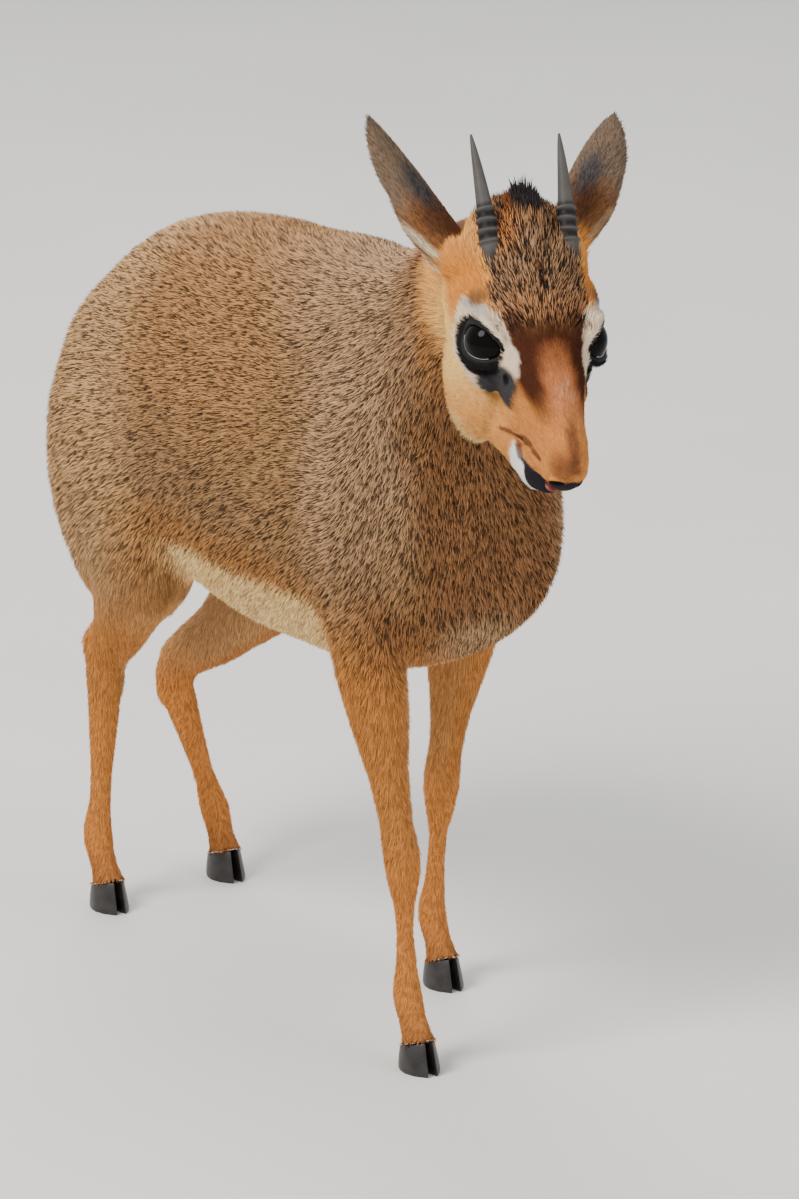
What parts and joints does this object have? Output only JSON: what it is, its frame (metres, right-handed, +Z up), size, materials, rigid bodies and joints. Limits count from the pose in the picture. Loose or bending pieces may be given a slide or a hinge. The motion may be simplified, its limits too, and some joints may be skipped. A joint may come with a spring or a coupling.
{
  "type": "male dik-dik antelope, life-size model",
  "caption": "Life-size still model of a small antelope in mid-step, head low and turned a little, with short straight horns, a tufted crown and a long soft snout.",
  "frame": {"origin": "on the floor, under the middle of the whole animal's box", "axes": "+Z up, the animal faces -Y and its left side is +X"},
  "size_m": [0.1544, 0.5444, 0.5077],
  "materials": {
    "grizzled_coat": "short dense hair, matte",
    "tan_coat": "short flat hair, matte",
    "ear_coat": "very short hair, matte",
    "horn": "worn horn, satin",
    "eye": "wet gloss"
  },
  "bodies": {
    "root": {"torso": "grizzled_coat", "neck": "grizzled_coat", "tail": "grizzled_coat", "head": "tan_coat", "foreleg_right": "tan_coat", "foreleg_left": "tan_coat", "hindleg_right": "tan_coat", "hindleg_left": "tan_coat", "ear_right": "ear_coat", "ear_left": "ear_coat", "eye_right": "eye", "eye_left": "eye", "horn_right": "horn", "horn_left": "horn", "hoof_fore_right_inner": "horn", "hoof_fore_right_outer": "horn", "hoof_fore_left_inner": "horn", "hoof_fore_left_outer": "horn", "hoof_hind_right_inner": "horn", "hoof_hind_right_outer": "horn", "hoof_hind_left_inner": "horn", "hoof_hind_left_outer": "horn"}
  },
  "joints": []
}
